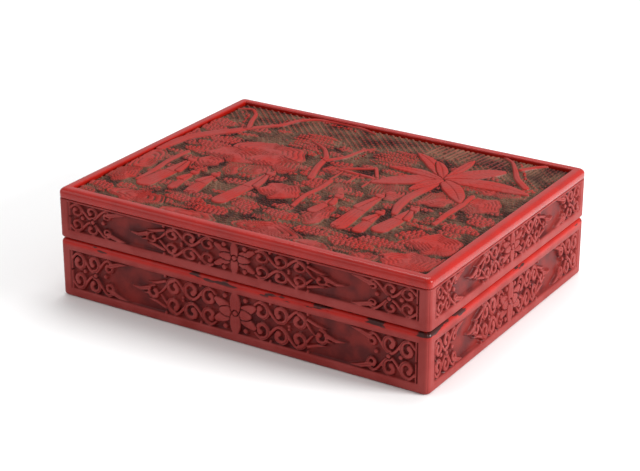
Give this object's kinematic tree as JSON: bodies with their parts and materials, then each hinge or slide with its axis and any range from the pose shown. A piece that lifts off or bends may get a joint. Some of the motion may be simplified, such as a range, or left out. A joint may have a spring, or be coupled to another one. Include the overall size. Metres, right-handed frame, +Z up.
{
  "type": "lacquer box",
  "caption": "Rectangular red carved-lacquer box with a lift-off lid that fits over an upstanding inner lip, black-lacquered inside.",
  "frame": {"origin": "centre of the underside, on the surface that the box stands on", "axes": "+X along the box's length to the viewer's right, +Y towards the back, +Z up through the lid"},
  "size_m": [0.27, 0.21, 0.074],
  "materials": {
    "top_lacquer": "carved red lacquer, rubbed, with pale dust in the cuts",
    "side_lacquer": "carved red lacquer with a dark red polished ground",
    "black_lacquer": "plain black lacquer",
    "wood_core": "bare softwood, hidden under the coats"
  },
  "bodies": {
    "base": {"base_underside": "black_lacquer", "base_bottom_board": "wood_core", "base_carved_coat_front": "side_lacquer", "base_carved_coat_right": "side_lacquer", "base_carved_coat_back": "side_lacquer", "base_carved_coat_left": "side_lacquer", "base_board_front": "wood_core", "base_board_right": "wood_core", "base_board_back": "wood_core", "base_board_left": "wood_core", "base_lip_front": "black_lacquer", "base_lip_right": "black_lacquer", "base_lip_back": "black_lacquer", "base_lip_left": "black_lacquer", "base_lining": "black_lacquer"},
    "lid": {"lid_carved_coat_front": "side_lacquer", "lid_carved_coat_right": "side_lacquer", "lid_carved_coat_back": "side_lacquer", "lid_carved_coat_left": "side_lacquer", "lid_board_front": "wood_core", "lid_board_right": "wood_core", "lid_board_back": "wood_core", "lid_board_left": "wood_core", "lid_top_board": "wood_core", "lid_lining": "black_lacquer", "lid_carved_top": "top_lacquer"}
  },
  "joints": [
    {"name": "lid_lift", "type": "slide", "parent": "base", "child": "lid", "axis": [0, 0, 1], "range_m": [0, 0.08]}
  ]
}
